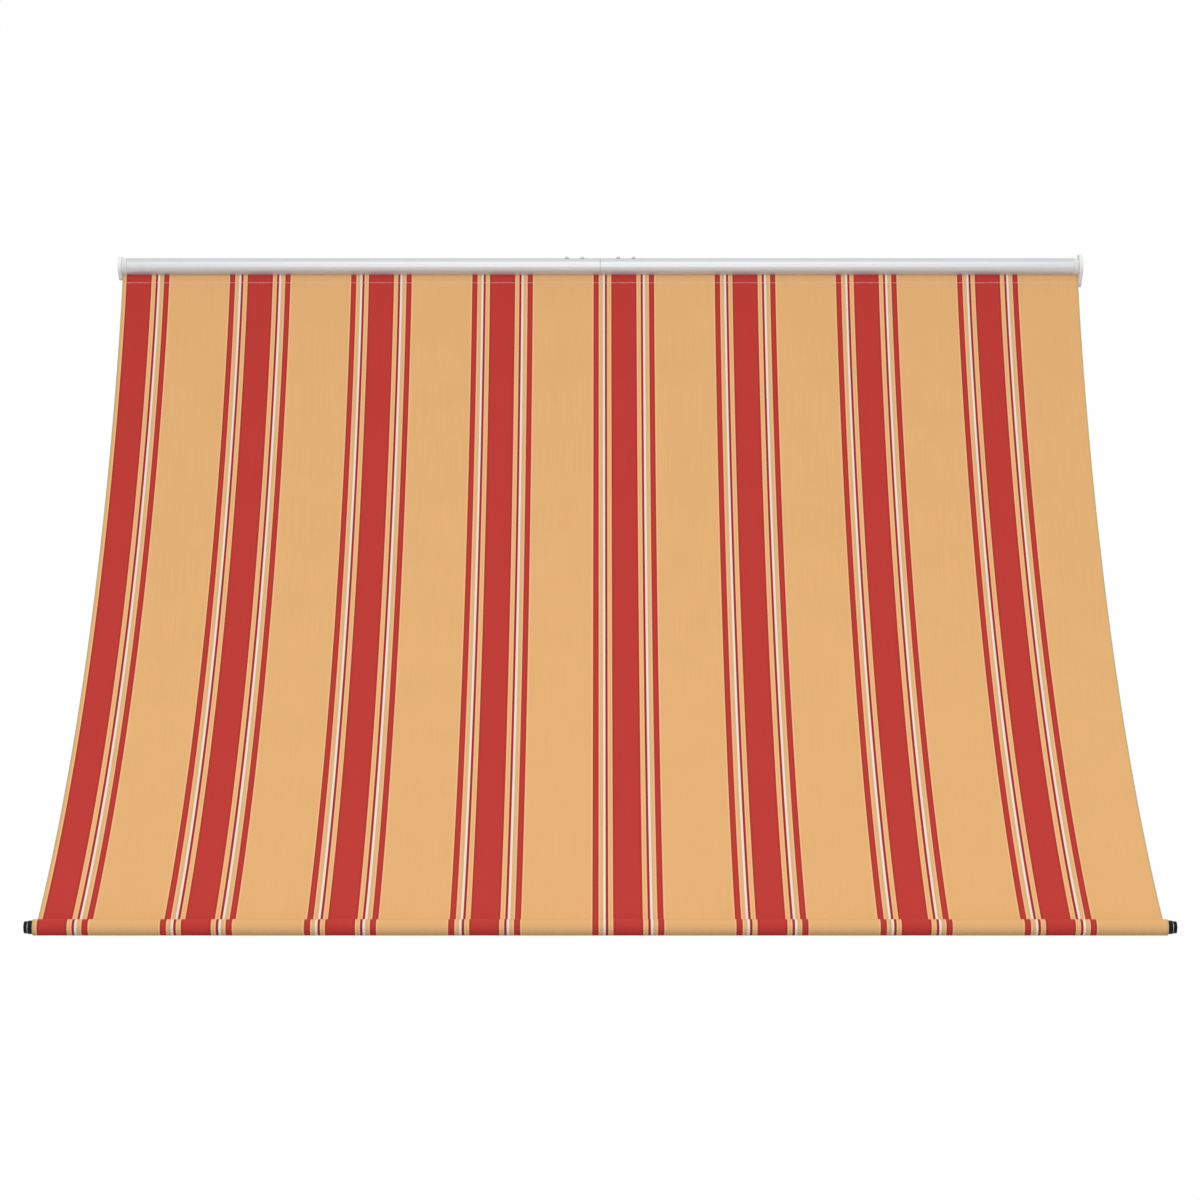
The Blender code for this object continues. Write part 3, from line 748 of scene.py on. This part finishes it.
finishes = {
    "cloth": clothFinish(),
    "thread": threadFinish(),
    "rail": railFinish(),
    "cap": capFinish(),
    "screw": metalFinish("zinc plated screws", (196, 198, 200), (222, 224, 226), 0.32),
    "joiner": metalFinish("raw aluminium", (186, 188, 190), (206, 208, 210), 0.42),
    "welt": plasticFinish("welt rod plastic", (222, 220, 212), (232, 230, 224), 0.5),
    "tube": metalFinish("zinc coated tube", (168, 172, 176), (198, 202, 206), 0.4),
    "plug": plasticFinish("glossy black plastic", (11, 8, 6), (16, 13, 10), 0.2, 0.15),
    "bush": metalFinish("sintered iron", (216, 218, 220), (232, 234, 236), 0.3),
    "pin": metalFinish("ground steel", (176, 178, 182), (200, 202, 206), 0.25),
    "spring": metalFinish("spring steel", (92, 94, 98), (116, 118, 122), 0.35),
}
sides = ("left", "right")
repaint(["end_cap_" + side for side in sides], finishes["cap"])
repaint(["rail_joiner"], finishes["joiner"])
repaint(
    ["cap_screw_" + side + "_" + row for side in sides for row in ("upper", "lower")],
    finishes["screw"],
)
repaint(["welt_rod_top", "welt_rod_bottom"], finishes["welt"])
repaint(["roller_tube"], finishes["tube"])
for side in sides:
    repaint(["bearing_hub_" + side], finishes["plug"])
    repaint(["bearing_bush_" + side], finishes["bush"])
    repaint(["axle_pin_" + side], finishes["pin"])
    repaint(["retaining_ring_" + side], finishes["spring"])

# round pieces: the CAD has them as loose flat triangles, so copies of the same
# shapes, merged and smooth, stand for them
rounding = {"merge": 0.000001, "angle": 8, "plugAngle": 12, "screwAngle": 20}


def smoothCopy(node, name, finish, angle):
    piece = bpy.data.objects.new(name, nodes[node].data.copy())
    bpy.context.scene.collection.objects.link(piece)
    pick(piece)
    bpy.ops.object.mode_set(mode="EDIT")
    bpy.ops.mesh.select_all(action="SELECT")
    bpy.ops.mesh.remove_doubles(threshold=rounding["merge"])
    bpy.ops.object.mode_set(mode="OBJECT")
    smooth(piece, angle)
    paint(piece, finish)
    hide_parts(node)
    return piece


for side in sides:
    rail = smoothCopy(
        "rail_" + side, "rail" + side.title(), finishes["rail"], rounding["angle"]
    )
    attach(rail, "awning_frame")
    plug = smoothCopy(
        "roller_plug_" + side,
        "rollerPlug" + side.title(),
        finishes["plug"],
        rounding["plugAngle"],
    )
    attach(plug, "roller")
for i in range(1, 5):
    screw = smoothCopy(
        "joint_screw_" + str(i),
        "jointScrew" + str(i),
        finishes["screw"],
        rounding["screwAngle"],
    )
    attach(screw, "awning_frame")
print("smooth copies made")
paint(awningCloth, finishes["cloth"])
paint(rollCloth, finishes["cloth"])
for row in stitches:
    paint(row, finishes["thread"])
print("finishes set")

# bodies
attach(rollCloth, "roller")
for piece in [awningCloth] + stitches:
    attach(piece, "awning_frame")
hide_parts("cloth_span")
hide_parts("cloth_turns")

# floor, light and background
studio = {
    "floorHeight": -3.2,
    "floorSize": 260,
    "floorTint": (170, 180, 196),  # what the floor throws back on the object
    "floorSeen": (250, 250, 250),
    "whiteShare": 0.98,  # of the floor as seen, the rest takes the shadow
    "skyLevel": 0.72,
    "keyPlace": (0, -6.5, 11.0),
    "keySize": 7.0,
    "keyPower": 258,
    "fillPlace": (0, -9.5, 3.8),  # above the camera, so that the rail shades little
    "fillSize": 5.0,
    "fillPower": 140,
    "aim": (0, -1, -0.7),
}
deselectAll()
bpy.ops.mesh.primitive_plane_add(
    size=studio["floorSize"], location=(0, 0, studio["floorHeight"])
)
floor = bpy.context.object
floor.name = "floor"
settle(floor)


def seenStraight(finish):  # 1 for what the camera, gloss and glass see, else 0
    rays = [
        finish.node("ShaderNodeLightPath", output=name)
        for name in ("Is Camera Ray", "Is Glossy Ray", "Is Transmission Ray")
    ]
    return finish.node(
        "ShaderNodeMath",
        {"operation": "ADD", "use_clamp": True},
        {0: rays[0] + rays[1], 1: rays[2]},
    )


def whiteOver(finish, shader, share):
    light = finish.node("ShaderNodeEmission", None, {"Strength": 1.0})
    return finish.node(
        "ShaderNodeMixShader",
        None,
        {0: seenStraight(finish) * share, 1: shader, 2: light},
    )


floorFinish = Finish("pale floor", roughness=0.9, specular_ior_level=0.1)
floorFinish.set(
    base_color=floorFinish.mix(
        seenStraight(floorFinish),
        colour(*studio["floorTint"]),
        colour(*studio["floorSeen"]),
    )
)
floorShader = Feed(floorFinish, floorFinish.shader.outputs[0])
floorFinish.put(
    floorFinish.tree.nodes["Material Output"].inputs["Surface"],
    whiteOver(floorFinish, floorShader, studio["whiteShare"]),
)
paint(floor, floorFinish.material)


class Sky(Finish):  # the same helpers on the world's nodes
    def __init__(self, name):
        self.world = bpy.data.worlds.new(name)
        self.world.use_nodes = True
        self.tree = self.world.node_tree


sky = Sky("studio")
bpy.context.scene.world = sky.world
skyGlow = sky.node(
    "ShaderNodeBackground",
    None,
    {"Color": (1, 1, 1, 1), "Strength": studio["skyLevel"]},
)
sky.put(
    sky.tree.nodes["World Output"].inputs["Surface"], whiteOver(sky, skyGlow, 1.0)
)


def softLamp(name):
    place, aim = studio[name + "Place"], studio["aim"]
    lampData = bpy.data.lights.new(name, "AREA")
    lampData.shape = "SQUARE"
    lampData.size = studio[name + "Size"]
    lampData.energy = studio[name + "Power"]
    lamp = bpy.data.objects.new(name, lampData)
    lamp.location = place
    lamp.rotation_euler = (
        (Vector(aim) - Vector(place)).to_track_quat("-Z", "Y").to_euler()
    )
    bpy.context.scene.collection.objects.link(lamp)


softLamp("key")
softLamp("fill")
bpy.context.scene.view_settings.view_transform = "Standard"
print("studio set")
